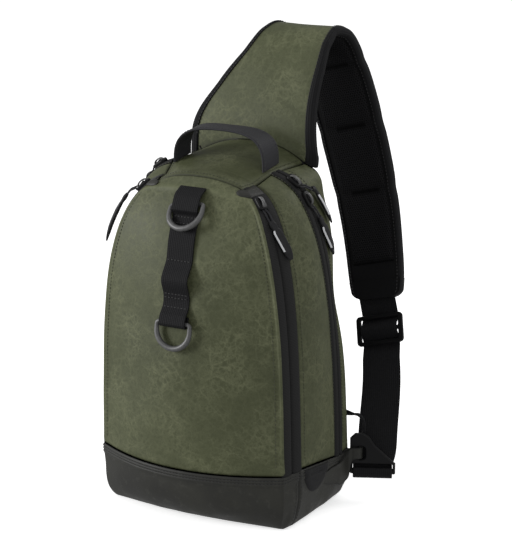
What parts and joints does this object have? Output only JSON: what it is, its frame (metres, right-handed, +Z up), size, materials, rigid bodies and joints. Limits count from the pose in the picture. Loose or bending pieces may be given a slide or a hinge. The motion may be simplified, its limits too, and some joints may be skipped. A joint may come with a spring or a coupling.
{
  "type": "fishing tackle sling bag",
  "caption": "Sling bag for fishing tackle: a padded shoulder strap over a zipped cloth body with a coated base tray, a top handle and D-rings on front webbing.",
  "frame": {"origin": "underside of the shoulder strap's crest, in the middle of its width, where the strap lies on a shoulder", "axes": "+Z up, +Y from the front panel to the back panel, +X to the right as seen from the front"},
  "size_m": [0.2589, 0.2574, 0.4472],
  "materials": {
    "coated_cloth": "worn olive coated cloth with a faint crackled sheen",
    "boot_cloth": "black coated cloth, satin",
    "black_webbing": "woven black webbing and zip tape",
    "mesh_cloth": "black spacer mesh",
    "black_plastic": "moulded black plastic",
    "ring_metal": "gunmetal grey"
  },
  "bodies": {
    "bag": {"boot": "boot_cloth", "front_panel": "coated_cloth", "back_panel": "mesh_cloth", "top_panel": "coated_cloth", "front_zip_right": "black_webbing", "front_zip_left": "black_webbing", "side_gusset_right": "coated_cloth", "side_gusset_left": "coated_cloth", "main_zip_right": "black_webbing", "main_zip_left": "black_webbing", "rear_gusset_right": "coated_cloth", "rear_gusset_left": "coated_cloth", "strap_pad": "coated_cloth", "strap_webbing": "black_webbing", "strap_slider": "black_plastic", "anchor_buckle": "black_plastic", "handle": "coated_cloth", "front_webbing": "black_webbing", "side_tab_right": "black_webbing", "anchor_wing": "black_webbing", "anchor_loop": "black_webbing", "zip_slider_front_right": "black_plastic", "zip_slider_main_right_1": "black_plastic", "zip_slider_main_right_2": "black_plastic", "zip_slider_front_left": "black_plastic", "zip_slider_main_left_1": "black_plastic", "zip_slider_main_left_2": "black_plastic", "zip_pull_front_right": "black_plastic", "zip_pull_main_right_1": "black_plastic", "zip_pull_main_right_2": "black_plastic", "zip_pull_front_left": "black_plastic", "zip_pull_main_left_1": "black_plastic", "zip_pull_main_left_2": "black_plastic"},
    "upper_ring": {"d_ring_upper": "ring_metal"},
    "lower_ring": {"d_ring_lower": "ring_metal"}
  },
  "joints": [
    {"name": "upper_ring_swing", "type": "hinge", "parent": "bag", "child": "upper_ring", "pos_m": [-0.02455, -0.18333, -0.1354], "axis": [-0.9925, 0, -0.1219], "range_deg": [0, 110]},
    {"name": "lower_ring_swing", "type": "hinge", "parent": "bag", "child": "lower_ring", "pos_m": [-0.02405, -0.21061, -0.24102], "axis": [-1, 0, 0], "range_deg": [0, 145]}
  ]
}
